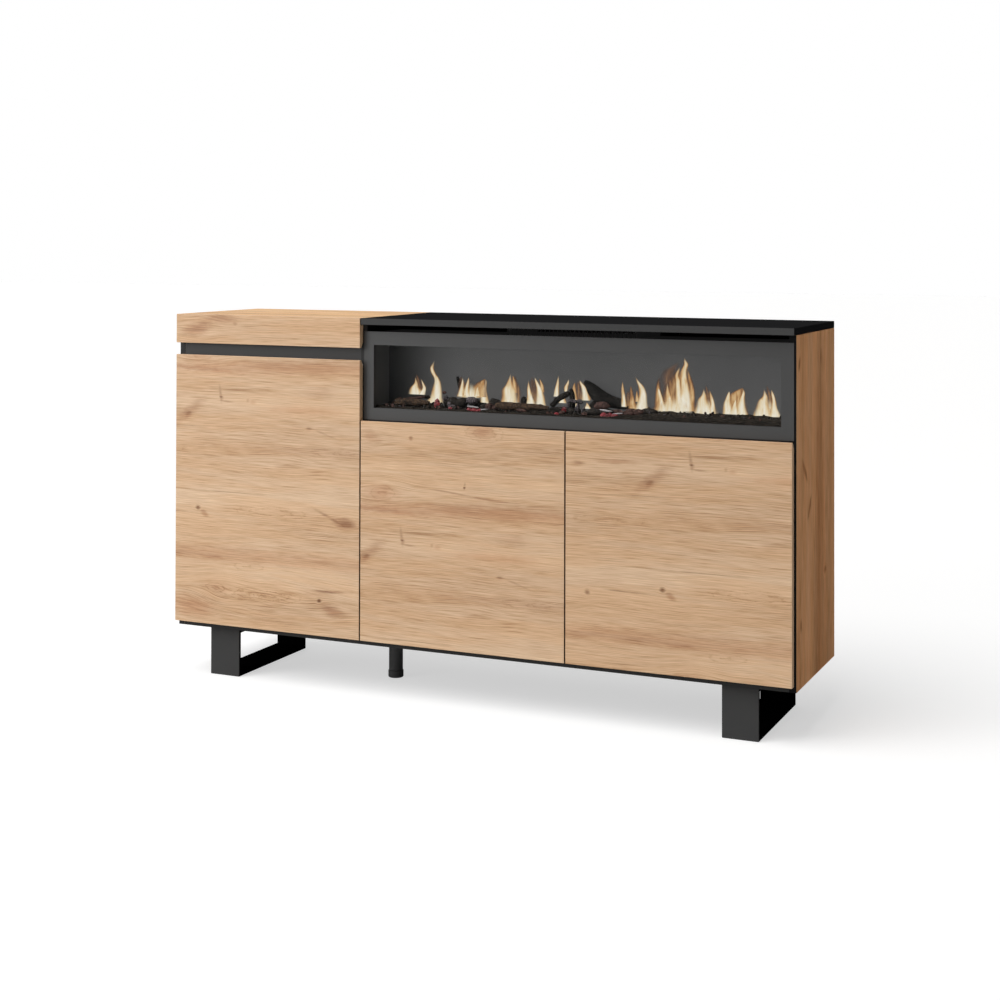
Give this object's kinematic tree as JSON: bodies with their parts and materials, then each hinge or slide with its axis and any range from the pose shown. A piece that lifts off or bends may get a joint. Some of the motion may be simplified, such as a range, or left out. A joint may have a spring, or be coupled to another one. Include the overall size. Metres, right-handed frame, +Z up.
{
  "type": "fireplace sideboard",
  "caption": "Low oak and black sideboard on flat-steel legs with a drawer, handleless doors and a wide electric fireplace insert.",
  "frame": {"origin": "on the floor under the middle of the cabinet", "axes": "+X to the viewer's right along the fronts, +Y to the rear, +Z up; the fronts face -Y"},
  "size_m": [1.5, 0.36, 0.852],
  "materials": {
    "oak": "oak decor with a matt grain",
    "black_board": "matt black decor",
    "backing": "thin black fibreboard",
    "drawer_board": "light grey decor",
    "fascia_paint": "anthracite powder coat",
    "leg_paint": "black powder coat",
    "sheet_steel": "black sheet steel",
    "zinc": "zinc plated",
    "glass": "clear",
    "screen": "grey translucent flame screen",
    "embers": "cast resin embers",
    "bark": "cast resin bark",
    "foil": "bright",
    "plastic": "black",
    "circuit": "white circuit board"
  },
  "bodies": {
    "cabinet": {"left_side_panel": "oak", "bay_divider": "black_board", "right_side_panel": "oak", "left_top_panel": "oak", "fireplace_top_panel": "black_board", "bottom_panel": "black_board", "grip_rail": "black_board", "fireplace_deck": "black_board", "centre_partition": "black_board", "left_shelf_lower": "black_board", "left_shelf_upper": "black_board", "middle_shelf": "black_board", "right_shelf": "black_board", "left_back_panel": "backing", "right_back_panel": "backing", "left_leg_frame": "leg_paint", "right_leg_frame": "leg_paint", "centre_foot_tube": "plastic", "cabinet_runner_left": "zinc", "cabinet_runner_right": "zinc", "left_hinge_arm_lower": "zinc", "left_hinge_arm_upper": "zinc", "middle_hinge_arm_lower": "zinc", "middle_hinge_arm_upper": "zinc", "right_hinge_arm_lower": "zinc", "right_hinge_arm_upper": "zinc", "fireplace_fascia": "fascia_paint", "fireplace_housing": "sheet_steel", "glass_pane": "glass", "flame_screen": "screen", "ember_bed": "embers", "log_left": "bark", "log_upright": "bark", "log_front": "bark", "log_driftwood": "bark", "rotor_bearing": "zinc", "rotor_motor": "plastic", "led_strip": "circuit", "blower_housing": "sheet_steel", "blower_motor": "sheet_steel", "outlet_grille": "sheet_steel"},
    "left_door": {"left_door": "oak", "left_hinge_cup_lower": "zinc", "left_hinge_cup_upper": "zinc"},
    "middle_door": {"middle_door": "oak", "middle_hinge_cup_lower": "zinc", "middle_hinge_cup_upper": "zinc"},
    "right_door": {"right_door": "oak", "right_hinge_cup_lower": "zinc", "right_hinge_cup_upper": "zinc"},
    "drawer": {"drawer_front": "oak", "drawer_left_side": "drawer_board", "drawer_right_side": "drawer_board", "drawer_back": "drawer_board", "drawer_bottom": "drawer_board", "drawer_runner_left": "zinc", "drawer_runner_right": "zinc"},
    "flame_rotor": {"flame_rotor": "foil"},
    "blower_wheel": {"blower_wheel": "sheet_steel"},
    "centre_foot_base": {"centre_foot_base": "plastic"}
  },
  "joints": [
    {"name": "left_door_hinge", "type": "hinge", "parent": "cabinet", "child": "left_door", "pos_m": [-0.7495, -0.18, 0.43925], "axis": [0, 0, -1], "range_deg": [0, 95]},
    {"name": "middle_door_hinge", "type": "hinge", "parent": "cabinet", "child": "middle_door", "pos_m": [-0.2485, -0.18, 0.3709], "axis": [0, 0, -1], "range_deg": [0, 95]},
    {"name": "right_door_hinge", "type": "hinge", "parent": "cabinet", "child": "right_door", "pos_m": [0.7455, -0.18, 0.3709], "axis": [0, 0, 1], "range_deg": [0, 95]},
    {"name": "drawer_slide", "type": "slide", "parent": "cabinet", "child": "drawer", "axis": [0, -1, 0], "range_m": [0, 0.24]},
    {"name": "flame_rotor_spin", "type": "hinge", "parent": "cabinet", "child": "flame_rotor", "pos_m": [0.24625, -0.0261, 0.6638], "axis": [1, 0, 0], "continuous": true},
    {"name": "blower_wheel_spin", "type": "hinge", "parent": "cabinet", "child": "blower_wheel", "pos_m": [0.24625, 0.0386, 0.8067], "axis": [1, 0, 0], "continuous": true},
    {"name": "centre_foot_turn", "type": "hinge", "parent": "cabinet", "child": "centre_foot_base", "pos_m": [-0.25, 0, 0], "axis": [0, 0, 1], "continuous": true}
  ]
}
